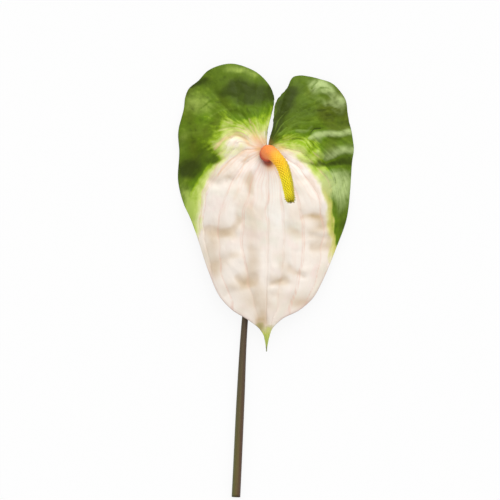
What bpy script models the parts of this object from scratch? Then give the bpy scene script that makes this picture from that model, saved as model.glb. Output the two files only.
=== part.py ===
"""A cut anthurium flower, lying on its back: a heart-shaped spathe, a bent spadix and a stem.

The flower faces up (+Z). The stem and the spathe's tip point along -Y, its two lobes along +Y. All the
pieces meet at the knot, where the stem ends, the spathe clasps it and the spadix starts. The lengths
below are in millimetres: outlines and centre lines are measured from the knot, and MM makes them metres.
"""

import math

import bpy
import numpy as np

MM = 0.001

# The knot stands over the floor, and the middle of the lying flower is at the origin.
KNOT = np.array([1.45, 81.85, 20.0])
GAP = 0.3

# The margin of each half of the spathe, from the tip round to the shoulder at the top of the notch.
LEFT_MARGIN = [
    (-0.9, -126.3), (-1.7, -120.6), (-2.6, -116.3), (-4.7, -112.8), (-12.5, -106.3), (-22.5, -100.0),
    (-29.4, -92.8), (-36.6, -77.5), (-43.9, -55.4), (-48.8, -42.0), (-52.4, -34.4), (-56.4, -18.8),
    (-55.6, 0.0), (-56.3, 10.6), (-52.6, 27.5), (-51.9, 33.4), (-49.7, 38.8), (-43.7, 43.8),
    (-37.5, 50.0), (-31.3, 52.8), (-22.5, 54.2), (-13.1, 51.7), (-6.3, 48.1), (-1.3, 43.4), (2.2, 38.1),
    (3.6, 33.8),
]
RIGHT_MARGIN = [
    (-0.9, -126.3), (0.1, -120.6), (1.0, -116.3), (2.2, -112.8), (8.1, -106.3), (20.0, -100.0),
    (28.1, -92.7), (34.4, -81.3), (42.5, -61.9), (49.3, -43.1), (51.6, -25.0), (53.0, -6.3),
    (53.9, 0.6), (53.3, 6.9), (50.0, 23.8), (48.8, 31.3), (45.3, 36.9), (40.6, 41.6), (33.1, 44.4),
    (25.0, 46.3), (19.4, 46.8), (15.9, 45.8), (14.1, 43.4),
]
# The edges of the notch between the lobes, from the collar up to the shoulder.
LEFT_NOTCH = [(-0.5, 3.3), (-0.5, 6.0), (-0.3, 8.5), (0.0, 11.9), (1.3, 18.1), (2.5, 24.4), (3.4, 29.4),
              (3.6, 33.8)]
RIGHT_NOTCH = [(0.1, 3.3), (0.2, 6.0), (1.2, 8.7), (2.5, 13.1), (3.3, 18.8), (3.7, 24.4), (4.9, 28.8),
               (7.2, 32.5), (10.3, 35.9), (12.5, 39.4), (14.1, 43.4)]
# How the ribs fan out: a share of the way along the margin from the tip, and the angle from the tip's
# direction, in degrees, at which the rib that ends there leaves the knot.
FAN = [(0.0, 0.0), (0.056, 22.0), (0.144, 44.0), (0.23, 64.0), (0.35, 86.0), (0.5, 112.0),
       (0.7, 140.0), (0.88, 160.0), (1.0, 171.0)]
FAN_BEND = 1.4
NOTCH_PULL = 0.7

# The blade's height: how far its margin lies below the knot, by angle from the tip's direction in degrees.
LEFT_DROP = [(0.0, 12.0), (12.0, 11.0), (25.0, 12.5), (40.0, 15.5), (60.0, 17.7), (82.0, 18.65),
             (105.0, 18.9), (130.0, 15.5), (150.0, 13.0), (170.0, 10.5), (186.0, 9.5)]
RIGHT_DROP = [(0.0, 12.0), (12.0, 12.0), (25.0, 13.5), (40.0, 16.0), (60.0, 17.9), (82.0, 18.9),
              (105.0, 17.5), (125.0, 16.0), (145.0, 12.5), (162.0, 10.5), (175.0, 10.0)]
# Slow waves of the lobes and margins, in the same form.
LEFT_WAVES = [(0.0, 0.0), (12.0, -0.5), (30.0, 0.5), (50.0, 1.6), (68.0, -1.6), (86.0, 0.9), (104.0, 1.8),
              (125.0, -2.4), (147.0, 1.2), (165.0, 0.2), (186.0, 0.0)]
RIGHT_WAVES = [(0.0, 0.0), (15.0, -0.5), (35.0, 0.0), (54.0, 1.6), (73.0, -1.5), (88.0, 1.6), (109.0, -2.0),
               (124.0, 1.8), (145.0, 0.8), (162.0, 0.0), (175.0, 0.0)]
DROP_POWER = 2.0
RISE = 14.8
COLLAR_RADIUS = 3.3
COLLAR_DROP = 1.8
COLLAR_REACH = 6.0
NOTCH_DIP = 2.5
NOTCH_DIP_WIDTH = 8.0
TAIL_POINTS = 3
TAIL_START = 114.0
BLADE_THICKNESS = 1.0
EDGE_THICKNESS = 0.7
# Where the blade's mesh columns stand: their count on each half, and how they crowd at the tip.
COLUMNS = 30
COLUMN_SHARES = [(0.0, 0.0), (0.2, 0.068), (0.5, 0.38), (0.75, 0.76), (1.0, 1.0)]
ROWS = 16

# The spadix: its centre line above its seat on the knot, and its radius along it.
SPADIX_LINE = [(-0.5, -3.0, 0.0), (-0.5, -3.0, 2.0), (-0.1, -2.0, 5.5), (1.1, -2.0, 9.0), (4.4, -4.8, 14.0),
               (8.6, -10.8, 19.5), (11.4, -20.0, 23.4), (13.2, -30.0, 24.4)]
SPADIX_RADII = [(0.0, 4.7), (0.06, 4.9), (0.2, 4.35), (0.45, 3.65), (0.7, 3.3), (0.9, 3.05), (1.0, 2.8)]
SPADIX_RINGS = 30
SPADIX_SIDES = 16
DOME_RINGS = 5

# The stem: its centre line, whose heights are above the floor, and its radius along it.
STEM_LINE = [(-20.1, -217.8, 2.8), (-17.2, -156.3, 3.0), (-14.4, -105.6, 2.9), (-9.2, -58.0, 2.9),
             (-4.6, -27.0, 3.5), (-2.2, -13.0, 5.0), (-0.8, -5.0, 8.6), (-0.1, -0.9, 13.6), (0.0, 0.0, 17.6),
             (0.0, 0.0, 20.5)]
STEM_RADII = [(0.0, 2.8), (0.28, 2.6), (0.48, 2.05), (0.75, 2.1), (0.92, 2.5), (1.0, 3.0)]
STEM_RINGS = 44
STEM_SIDES = 16


def smooth(knots, values, places):
    """Read the smooth curve that runs through the values at the knots."""
    knots = np.asarray(knots, float)
    values = np.asarray(values, float)
    places = np.atleast_1d(np.asarray(places, float))
    slopes = np.gradient(values, knots, axis=0)
    low = np.clip(np.searchsorted(knots, places, side="right") - 1, 0, len(knots) - 2)
    span = knots[low + 1] - knots[low]
    t = (places - knots[low]) / span
    if values.ndim > 1:
        span = span[:, None]
        t = t[:, None]
    start = (2 * t**3 - 3 * t**2 + 1) * values[low] + (t**3 - 2 * t**2 + t) * span * slopes[low]
    end = (3 * t**2 - 2 * t**3) * values[low + 1] + (t**3 - t**2) * span * slopes[low + 1]
    return start + end


def smooth_pairs(pairs, places):
    """Read the smooth curve through (place, value) pairs."""
    table = np.asarray(pairs, float)
    return smooth(table[:, 0], table[:, 1], places)


def along(points):
    """Each point's share of the way along a line of points."""
    steps = np.linalg.norm(np.diff(np.asarray(points, float), axis=0), axis=1)
    return np.concatenate([[0.0], np.cumsum(steps)]) / steps.sum()


def polar(points, side):
    """Distance from the knot and angle from the tip's direction, opening towards the given side."""
    points = np.asarray(points, float)
    angle = np.arctan2(side * points[:, 0], -points[:, 1])
    return np.hypot(points[:, 0], points[:, 1]), np.where(angle < -0.5 * math.pi, angle + 2 * math.pi, angle)


def rib(side, share, rows):
    """The plan points of the rib that ends at a share of the way along one half's margin."""
    margin = LEFT_MARGIN if side < 0 else RIGHT_MARGIN
    notch = LEFT_NOTCH if side < 0 else RIGHT_NOTCH
    end_radius, end_angle = polar(smooth(along(margin), margin, share), side)
    radius = COLLAR_RADIUS + (end_radius - COLLAR_RADIUS) * rows
    turn = math.radians(smooth_pairs(FAN, share)[0]) - end_angle
    angle = end_angle + turn * (1 - rows) ** FAN_BEND

    notch_radius, notch_angle = polar(notch, side)
    edge_turn = math.radians(FAN[-1][1]) - notch_angle[-1]
    edge_radius = COLLAR_RADIUS + (notch_radius[-1] - COLLAR_RADIUS) * rows
    edge_angle = smooth(notch_radius, notch_angle, edge_radius)
    pull = max(0.0, (share - NOTCH_PULL) / (1 - NOTCH_PULL)) ** 2
    angle += pull * (edge_angle - notch_angle[-1] - edge_turn * (1 - rows) ** FAN_BEND)
    return np.column_stack([side * radius * np.sin(angle), -radius * np.cos(angle)])


def blade_height(side, plan):
    """The height of the blade's middle surface over the knot, at plan points on one half."""
    margin_radius, margin_angle = polar((LEFT_MARGIN if side < 0 else RIGHT_MARGIN)[TAIL_POINTS:], side)
    margin_radius[0], margin_angle[0] = TAIL_START, 0.0
    radius, angle = polar(plan, side)
    angle = np.clip(angle, 0.0, margin_angle[-1])
    reach = radius / np.interp(angle, margin_angle, margin_radius)
    drop = smooth_pairs(LEFT_DROP if side < 0 else RIGHT_DROP, np.degrees(angle))
    inside = np.clip(reach, 0.0, 1.0)
    rise = RISE * inside * (1 - inside) ** 2
    collar = COLLAR_DROP * np.exp(-(radius - COLLAR_RADIUS) / COLLAR_REACH)
    notch_radius, notch_angle = polar(LEFT_NOTCH if side < 0 else RIGHT_NOTCH, side)
    off_notch = radius * (np.interp(radius, notch_radius, notch_angle) - angle)
    dip = NOTCH_DIP * np.exp(-((off_notch / NOTCH_DIP_WIDTH) ** 2)) * np.sin(math.pi * inside)
    waves = smooth_pairs(LEFT_WAVES if side < 0 else RIGHT_WAVES, np.degrees(angle)) * inside**2
    return rise - collar - drop * reach**DROP_POWER - dip + waves


def blade_grid():
    """The blade's middle surface: a grid of points, columns from the left notch edge to the right one."""
    rows = np.linspace(0.0, 1.0, ROWS + 1)
    shares = np.clip(smooth_pairs(COLUMN_SHARES, np.linspace(0.0, 1.0, COLUMNS + 1)), 0.0, 1.0)
    columns = [(-1, share) for share in shares[::-1]] + [(1, share) for share in shares[1:]]
    grid = []
    for side, share in columns:
        plan = rib(side, share, rows)
        grid.append(np.column_stack([plan, blade_height(side, plan)]))
    return np.array(grid)


def grid_normals(grid):
    """The upward unit normals of a grid of points."""
    across = np.gradient(grid, axis=0)
    outward = np.gradient(grid, axis=1)
    normals = np.cross(outward, across)
    normals /= np.linalg.norm(normals, axis=2, keepdims=True)
    return normals * np.sign(normals[:, :, 2:])


def make_object(name, points, faces, colour, roughness):
    """A smooth-shaded object, with a material of its own, from points in millimetres."""
    mesh = bpy.data.meshes.new(name)
    mesh.from_pydata([tuple(float(c) for c in point * MM) for point in points], [], faces)
    mesh.shade_smooth()
    mesh.set_sharp_from_angle(angle=math.radians(50))
    material = bpy.data.materials.new(name + "_finish")
    material.use_nodes = True
    shader = material.node_tree.nodes["Principled BSDF"]
    shader.inputs["Base Color"].default_value = (*colour, 1.0)
    shader.inputs["Roughness"].default_value = roughness
    shader.inputs["Metallic"].default_value = 0.0
    mesh.materials.append(material)
    thing = bpy.data.objects.new(name, mesh)
    bpy.context.collection.objects.link(thing)
    return thing


def make_spathe():
    """The blade: two sheets a thickness apart, joined round the margin, the notch and the collar."""
    grid = blade_grid()
    normals = grid_normals(grid)
    columns, rows = grid.shape[:2]
    thickness = np.full((1, rows, 1), BLADE_THICKNESS)
    thickness[0, -1, 0] = EDGE_THICKNESS
    top = grid + normals * thickness / 2
    bottom = grid - normals * thickness / 2
    points = np.concatenate([top.reshape(-1, 3), bottom.reshape(-1, 3)]) + KNOT
    below = columns * rows
    faces = []
    for i in range(columns - 1):
        for j in range(rows - 1):
            a, b = i * rows + j, (i + 1) * rows + j
            faces.append((a, a + 1, b + 1, b))
            faces.append((below + a, below + b, below + b + 1, below + a + 1))
    end = (columns - 1) * rows
    border = list(range(rows - 1))
    border += [i * rows + rows - 1 for i in range(columns - 1)]
    border += [end + j for j in range(rows - 1, 0, -1)]
    border += [i * rows for i in range(columns - 1, 0, -1)]
    for a, b in zip(border, border[1:] + border[:1]):
        faces.append((b, a, below + a, below + b))
    return make_object("spathe", points, faces, (0.83, 0.74, 0.64), 0.4)


def frames(line):
    """Two directions across a centre line at each of its points, turning with it and never about it."""
    tangents = np.gradient(line, axis=0)
    tangents /= np.linalg.norm(tangents, axis=1, keepdims=True)
    side = np.cross(tangents[0], [0.0, 0.0, 1.0])
    if np.linalg.norm(side) < 0.5:
        side = np.array([1.0, 0.0, 0.0])
    sides = []
    for tangent in tangents:
        side = side - tangent * np.dot(side, tangent)
        side = side / np.linalg.norm(side)
        sides.append(side)
    sides = np.array(sides)
    return sides, np.cross(tangents, sides)


def rod(line, radii, corners):
    """A rod's closed skin round a centre line, with flat ends."""
    sides, others = frames(line)
    turn = 2 * math.pi * np.arange(corners) / corners
    rings = (line[:, None, :]
             + radii[:, None, None] * np.cos(turn)[None, :, None] * sides[:, None, :]
             + radii[:, None, None] * np.sin(turn)[None, :, None] * others[:, None, :])
    faces = []
    for i in range(len(line) - 1):
        for k in range(corners):
            a, b = i * corners + k, i * corners + (k + 1) % corners
            faces.append((a, b, b + corners, a + corners))
    last = (len(line) - 1) * corners
    faces.append(tuple(range(corners))[::-1])
    faces.append(tuple(last + k for k in range(corners)))
    return rings.reshape(-1, 3), faces


def make_stem():
    """The stalk, from its square cut end on the floor, up through the neck's bend to the knot."""
    shares = np.linspace(0.0, 1.0, STEM_RINGS + 1) ** 0.8
    line = smooth(along(STEM_LINE), STEM_LINE, shares)
    points, faces = rod(line, smooth_pairs(STEM_RADII, shares), STEM_SIDES)
    on_floor = KNOT * np.array([1.0, 1.0, 0.0])
    return make_object("stem", points + on_floor, faces, (0.11, 0.09, 0.04), 0.45)


def make_spadix():
    """The finger, from its flat seat on the knot to its domed end."""
    body = smooth(along(SPADIX_LINE), SPADIX_LINE, np.linspace(0.0, 1.0, SPADIX_RINGS + 1))
    radii = smooth_pairs(SPADIX_RADII, np.linspace(0.0, 1.0, SPADIX_RINGS + 1))
    onward = body[-1] - body[-2]
    onward /= np.linalg.norm(onward)
    lean = np.radians(np.linspace(0.0, 80.0, DOME_RINGS + 1))[1:]
    dome = body[-1] + onward * (radii[-1] * np.sin(lean))[:, None]
    line = np.concatenate([body, dome])
    points, faces = rod(line, np.concatenate([radii, radii[-1] * np.cos(lean)]), SPADIX_SIDES)
    seat = KNOT + np.array([0.0, 0.0, STEM_LINE[-1][2] - KNOT[2] + GAP])
    return make_object("spadix", points + seat, faces, (0.85, 0.55, 0.05), 0.45)


def main():
    for thing in list(bpy.data.objects):
        bpy.data.objects.remove(thing, do_unlink=True)
    make_stem()
    make_spathe()
    make_spadix()


main()
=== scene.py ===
"""The looks of a cut anthurium flower that lies on its back, with its floor, lights and camera.

Outlines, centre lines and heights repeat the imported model's, in millimetres from the knot, the
point where the stem, the spathe and the spadix meet. MM makes them metres, and the knot's place
comes from the frame.
"""

import math

import bpy
import numpy as np
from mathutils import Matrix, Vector, noise


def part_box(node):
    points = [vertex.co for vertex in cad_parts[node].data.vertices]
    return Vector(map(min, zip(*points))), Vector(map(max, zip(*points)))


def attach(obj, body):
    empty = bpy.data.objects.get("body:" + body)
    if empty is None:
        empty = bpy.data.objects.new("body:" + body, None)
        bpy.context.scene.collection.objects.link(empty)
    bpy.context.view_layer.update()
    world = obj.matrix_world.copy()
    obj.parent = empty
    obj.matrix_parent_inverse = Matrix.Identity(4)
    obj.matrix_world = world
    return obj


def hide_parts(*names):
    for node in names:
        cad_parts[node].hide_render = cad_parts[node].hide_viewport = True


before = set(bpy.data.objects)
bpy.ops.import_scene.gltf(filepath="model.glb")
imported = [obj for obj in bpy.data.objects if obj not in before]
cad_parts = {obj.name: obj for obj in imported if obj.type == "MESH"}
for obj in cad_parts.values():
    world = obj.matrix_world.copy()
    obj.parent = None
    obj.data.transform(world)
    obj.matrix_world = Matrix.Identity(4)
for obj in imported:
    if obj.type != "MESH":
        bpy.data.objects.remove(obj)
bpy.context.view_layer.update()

MM = 0.001
NECK_TOP_RADIUS = 2.96
NECK_ABOVE_KNOT = 0.61
_, STEM_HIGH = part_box("stem")
KNOT = np.array([STEM_HIGH[0] / MM - NECK_TOP_RADIUS, STEM_HIGH[1] / MM - NECK_TOP_RADIUS,
                 STEM_HIGH[2] / MM - NECK_ABOVE_KNOT])

# ---- the spathe's shape

LEFT_MARGIN = [
    (-0.9, -126.3), (-1.7, -120.6), (-2.6, -116.3), (-4.7, -112.8), (-12.5, -106.3), (-22.5, -100),
    (-29.4, -92.8), (-36.6, -77.5), (-43.9, -55.4), (-48.8, -42), (-52.4, -34.4), (-56.4, -18.8),
    (-55.6, 0), (-56.3, 10.6), (-52.6, 27.5), (-51.9, 33.4), (-49.7, 38.8), (-43.7, 43.8),
    (-37.5, 50), (-31.3, 52.8), (-22.5, 54.2), (-13.1, 51.7), (-6.3, 48.1), (-1.3, 43.4),
    (2.2, 38.1), (3.6, 33.8),
]
RIGHT_MARGIN = [
    (-0.9, -126.3), (0.1, -120.6), (1, -116.3), (2.2, -112.8), (8.1, -106.3), (20, -100),
    (28.1, -92.7), (34.4, -81.3), (42.5, -61.9), (49.3, -43.1), (51.6, -25), (53, -6.3),
    (53.9, 0.6), (53.3, 6.9), (50, 23.8), (48.8, 31.3), (45.3, 36.9), (40.6, 41.6), (33.1, 44.4),
    (25, 46.3), (19.4, 46.8), (15.9, 45.8), (14.1, 43.4),
]
LEFT_NOTCH = [
    (-0.6, 3.3), (-0.8, 6), (-0.8, 8.5), (-0.3, 11.9), (1, 18.1), (2.5, 24.4), (3.6, 28.6),
    (3.6, 33.8),
]
RIGHT_NOTCH = [
    (0.2, 3.3), (0.7, 6), (1.6, 8.7), (2.8, 13.1), (3.5, 18.8), (3.8, 24.4), (4.7, 28.8), (7, 32.5),
    (10.3, 35.9), (12.5, 39.4), (14.1, 43.4),
]

# The mesh's ribs: a share of the way along the margin from the tip, and the angle from the tip's
# direction, in degrees, at which the rib that ends there leaves the knot.
RIB_FAN = [
    (0, 0), (0.056, 22), (0.144, 44), (0.23, 64), (0.35, 86), (0.5, 112), (0.7, 140), (0.88, 160),
    (1, 171),
]
RIB_BEND = 1.4
NOTCH_PULL = 0.7

# The veins fan more widely than the ribs, and a little differently on each half. They end at shares
# of the margin, and their places count on from 20 on the right half.
LEFT_FAN = [
    (0, 0), (0.056, 34), (0.144, 68), (0.23, 99), (0.35, 114), (0.5, 122), (0.7, 128), (0.88, 134),
    (1, 171),
]
RIGHT_FAN = [
    (0, 0), (0.056, 22), (0.13, 48), (0.19, 76), (0.3, 110), (0.45, 138), (0.65, 150), (0.85, 160),
    (1, 172),
]
LEFT_VEINS = [0, 0.056, 0.144, 0.23, 0.34, 0.44, 0.53, 0.62, 0.7, 0.78, 0.86, 0.93, 1]
RIGHT_VEINS = [0, 0.056, 0.13, 0.19, 0.29, 0.39, 0.48, 0.57, 0.66, 0.75, 0.83, 0.91, 1]

# Where the veins arch up out of their fan: x, y, half width, half height and lift, in millimetres.
VEIN_ARCHES = [(-21, 9, 9, 8, 6), (20, 8, 8, 6, 1.5)]
VEIN_WANDER = 1.1
VEIN_WANDER_LENGTH = 11.0
VEIN_WANDER_FROM = (4.0, 20.0)
RIGHT_VEIN_PLACES = 20.0
FAN_SAMPLES = 161

LEFT_DROP = [
    (0, 12), (12, 11), (25, 12.5), (40, 15.5), (60, 17.7), (82, 18.65), (105, 18.9), (130, 15.5),
    (150, 13), (170, 10.5), (186, 9.5),
]
RIGHT_DROP = [
    (0, 12), (12, 12), (25, 13.5), (40, 16), (60, 17.9), (82, 18.9), (105, 17.5), (125, 16),
    (145, 12.5), (162, 10.5), (175, 10),
]
DROP_POWER = 2.0
RISE = 14.8
COLLAR_RADIUS = 3.3
COLLAR_DROP = 1.8
COLLAR_REACH = 6.0
NOTCH_DIP = 2.5
NOTCH_DIP_WIDTH = 8.0
TAIL_POINTS = 3
TAIL_START = 114.0
TAIL_SHARE = 0.056
TIP_HALF_WIDTH = 12.0
BLADE_THICKNESS = 1.0
EDGE_THICKNESS = 0.55
EDGE_FROM = 0.94
CLEAR_OF_FLOOR = 0.06

# Slow waves of the lobes and margins, by angle from the tip's direction in degrees.
LEFT_WAVES = [
    (0, 0), (12, -0.5), (30, 0.5), (50, 1.6), (68, -1.6), (86, 0.9), (104, 1.8), (125, -2.4),
    (147, 1.2), (165, 0.2), (186, 0),
]
RIGHT_WAVES = [
    (0, 0), (15, -0.5), (35, 0), (54, 1.6), (73, -1.5), (88, 1.6), (109, -2), (124, 1.8),
    (145, 0.8), (162, 0), (175, 0),
]

# Folds and creases of the blade: half width, rise (below 0, a crease) and the line that it follows.
FOLDS = [
    # the left lobe
    (3, 0.6, (-25, 50), (-16, 49.3), (-9, 46)),
    (8.7, -1, (-24, 38.5), (-14, 35.5), (-3, 35)),
    (6.2, 1.3, (-46.5, 33), (-38.5, 29)),
    (3.5, -0.8, (-47, 40), (-38, 43)),
    (1.3, -0.5, (-42, 27), (-37, 29), (-32.5, 29.8)),
    (1.6, 0.6, (-30, 24.5), (-24.6, 26.3), (-18, 25)),
    (2, -0.8, (-20.5, 23), (-15, 19.5)),
    (4.2, 0.8, (-29, 17.5), (-21, 18.5)),
    (2.2, 0.5, (-13, 25), (-7, 20), (-4.5, 13)),
    (6.2, 0.8, (-51, 8), (-42, 11)),
    (3.1, 0.5, (-55, -2), (-40, 4)),
    (5.2, -1.2, (-54, -10), (-45, -8.5), (-38, -3.5)),
    (4.5, 1.2, (-51.5, -22), (-50, -30), (-47, -40)),
    (2.6, -0.7, (-35, -2), (-29, -4.5)),
    (1.3, -0.5, (-34, -0.5), (-27, 5.5), (-20.5, 9), (-14, 6.5)),
    (1.5, 0.4, (-29, 8), (-21, 13), (-13, 9.5)),
    # the right lobe
    (3.8, -0.6, (18, 43.5), (22, 37)),
    (4.2, 0.8, (28, 39), (35, 42)),
    (1.2, -0.5, (27, 37), (29.5, 41.5), (33, 43.7)),
    (2.8, 0.9, (33, 36), (39, 37), (46, 31)),
    (1.2, -0.4, (33, 34), (42, 33.5)),
    (4.4, -1, (36, 22), (50, 19.5)),
    (1.2, 0.6, (20.5, 24.5), (25.6, 28), (31, 30.4)),
    (1.7, -0.5, (22, 21.5), (33, 24.5)),
    (1.3, -0.7, (24, 8), (27.5, 12.5), (33, 13.7)),
    (2.5, 1.2, (27, 7), (38, 11), (51, 11.5)),
    (2.6, -0.9, (37, 14.5), (50, 16.5)),
    (3.5, -0.5, (30, 3), (42, 5.5)),
    (2.5, 1.2, (33, -3), (43, 0), (53, 1.5)),
    (4.3, -1.3, (33, -8), (42, -7.5), (52, -5)),
    (2.8, 0.7, (36, -13.5), (48, -13)),
    (4.2, 0.8, (41, -19), (44.5, -27)),
    (1.1, 0.5, (6, 7), (12, 12), (19, 17)),
    (1.3, -0.7, (9, 5.2), (18.8, 7.4), (27, 4.6), (29.5, 0)),
    (2.2, 0.6, (19, 4), (25, 1)),
    (1.6, -0.8, (21.5, -7.5), (29.5, -11.5)),
    (1.9, 0.5, (20, -4), (29, -8)),
    (1, -0.6, (37, 28), (44, 26.5), (49, 29)),
    (1.2, -0.6, (31, 27.5), (38.5, 24.5), (41, 20)),
    (0.9, 0.5, (39, 17.5), (50, 20)),
    (1.1, 0.5, (25, 33.5), (33, 31.5), (36, 27)),
    (1, -0.5, (38, 8), (44, 7), (50, 8.5)),
    (1, -0.5, (36, -11), (40, -14.5), (50, -12)),
    (0.9, -0.5, (38, -16), (42, -20.5), (39, -25)),
    (0.9, -0.4, (46, -14), (47.5, -20), (45, -27)),
    # the cream field
    (8.2, 1.02, (-36, -25.5), (-25, -25.5)),
    (3.2, -0.85, (-36, -19.5), (-30, -20.3), (-22, -20.2)),
    (6.1, 0.51, (-30, -13), (-24, -15)),
    (12.1, 0.77, (-31, -38), (-22, -40)),
    (4, -1.25, (-37, -48.5), (-29, -52), (-22, -49.5), (-18, -42)),
    (4.2, -0.68, (-11, -16), (-12.8, -26)),
    (2.9, 0.42, (-7.5, -9), (-7.8, -14)),
    (2.2, -0.42, (-19.8, -54), (-20.5, -58.5)),
    (3.2, -0.77, (-20.5, -63), (-22.5, -67), (-26, -68.5)),
    (6.1, 0.59, (-24, -60), (-27, -63)),
    (4.9, 0.77, (-30.5, -76.5), (-18.5, -67)),
    (4.7, -0.68, (-33, -72), (-31.5, -76)),
    (3.6, -0.94, (-19, -80.5), (-14.5, -84.3), (-9, -81)),
    (5.2, -0.5, (-8.8, -62), (-9.5, -72), (-12, -79)),
    (5.2, 0.59, (-22, -84), (-26, -81)),
    (2.3, -0.42, (-28, -91), (-18, -87.5)),
    (4.2, -0.77, (-4, -103), (-3, -109)),
    (10.1, 0.77, (24, -32), (32, -34)),
    (3.6, -0.94, (22.5, -41.5), (28, -42.3), (34, -41.3)),
    (4.1, 0.51, (25, -47), (31, -45)),
    (3.1, -0.68, (30, -48.5), (37, -47)),
    (3.7, -0.59, (13, -49), (19, -53.5)),
    (2.3, -0.59, (27, -54), (38, -55.3)),
    (3.2, 0.51, (29, -51.5), (36, -51.5)),
    (3.2, -0.68, (28, -61), (37, -60.5)),
    (3.1, -0.94, (2.5, -83), (6, -82.3), (10.5, -81.5)),
    (4.7, -0.51, (9, -80), (12, -72)),
    (5.6, 0.59, (4, -75), (5, -78.5)),
    (2.3, -0.68, (14, -74.2), (18, -75), (22.5, -79.3)),
    (3.2, 0.42, (16, -72.5), (22, -76)),
    (5.6, -0.51, (17, -94.5), (23, -95.5)),
    (2.8, -0.34, (3, -91), (8, -88)),
]
FOLD_WANDER = 1.1
FOLD_WANDER_LENGTH = 8.0
# The share by which fold crests are painted paler and creases darker: painted light and shade.
FOLD_SHADING = 0.35

# Pillows of crumpled skin: length and rise, over the whole blade and over the lobes.
CRUMPLE = [(9, 0.5), (4.2, 0.28), (2.2, 0.11)]
LOBE_CRUMPLE = [(7.5, 0.9), (3.6, 0.3)]
LOBE_CRUMPLE_GREEN = (0.5, 1.3)
LOBE_CRUMPLE_OFFSET = 50.0
CRUMPLE_LAYER = 5.0
CRUMPLE_WANDER = 1.5
CRUMPLE_WANDER_LENGTH = 6.0
WANDER_REACH = 1.6
WANDER_LAYERS = (0.0, 7.3)
VEIN_SEED, CRUMPLE_SEED, FOLD_SEED = 40.0, 20.0, 0.0

# Where the green starts and where the cream ends, for each half: angle from the tip's direction in
# degrees, and distance from the knot. Between the two, where the green field runs from 0 to 1,
# lies a lime and yellow band.
GREEN_LOW, GREEN_HIGH = -1.0, 2.5
LEFT_GREEN = [
    (40, 80), (43, 73), (46, 71), (51, 66), (59, 57), (66, 49), (72, 42.5), (79, 36), (86, 36.5),
    (95, 37.5), (104, 37.2), (114, 37), (123, 36.2), (131, 33), (137, 27), (146, 22.5), (155, 22),
    (165, 22.5), (178, 25), (186, 28),
]
LEFT_CREAM = [
    (34, 78), (38, 70), (43, 62.5), (46, 59), (51, 52), (59, 43.5), (66, 36.5), (72, 29.5),
    (78, 23.5), (84, 18.5), (92, 15), (102, 11), (115, 8.5), (125, 6.5), (140, 5), (165, 3),
    (186, 2),
]
RIGHT_GREEN = [
    (32, 86), (35, 76), (38, 68.5), (41.6, 63), (45.4, 57.5), (50, 52.5), (56.7, 47.5), (62, 44.5),
    (70, 41), (82, 34.5), (96, 29), (112, 25), (129, 15), (140, 8.5), (155, 5.5), (175, 4.5),
]
RIGHT_CREAM = [
    (28, 79), (33, 71), (38, 61.5), (41.6, 55.5), (45.4, 51.5), (50, 46), (54, 40), (58, 34.5),
    (63, 29.5), (68, 23), (73, 17.5), (80, 12.5), (90, 7.5), (110, 4.5), (140, 1.5), (175, 0.5),
]

# Olive and dark patches of the lobes, partly their own olive and partly painted shade where the
# blade faces away from the light, and pale ones (above 0), painted sheen: x, y, half width, half
# height and strength.
LOBE_SHEEN_AND_SHADE = [
    (-43, 29.5, 6.5, 5, 0.6), (-49, -13.5, 8, 7, -0.8), (-44, 3, 7, 6, -0.4), (-41, 42, 6, 5, -0.2),
    (-27, 35, 9, 5, -0.3), (-33.5, -6, 6, 2.2, -0.25), (-13, 28.5, 8, 5, -0.5),
    (-50.5, -29, 4, 5, 0.9), (-48, -38, 4, 7, 1.2), (-22, 50.5, 5, 2, 0.3), (-53, 9, 2.5, 5, 0.3),
    (46.5, 30.5, 3, 3, 0.7), (41, 29, 6, 3.6, 0.6), (29, 41.5, 4, 2.4, 0.35),
    (40, -19.5, 9, 6.5, 1.2), (38, -27, 6, 5, 0.9), (45, -36, 3, 8, 0.5), (47, -46, 3, 6, -0.6),
    (31, 5.5, 3, 3, 0.5), (-36, -0.5, 3, 3, 0.2), (26, -9.6, 4.5, 1.4, -0.2), (33, 40.5, 6, 3, 0.3),
    (17.5, 26, 6, 8, -0.35), (49, -24, 4, 10, 0.85), (44.5, 25.5, 5, 7, 0.6), (36, 27, 5, 3, 0.35),
    (-41, 26.5, 5, 3.5, 0.3), (-50.5, 27, 3, 4, 0.3), (-32.5, -8.5, 3.2, 2.2, -0.5),
]
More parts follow.
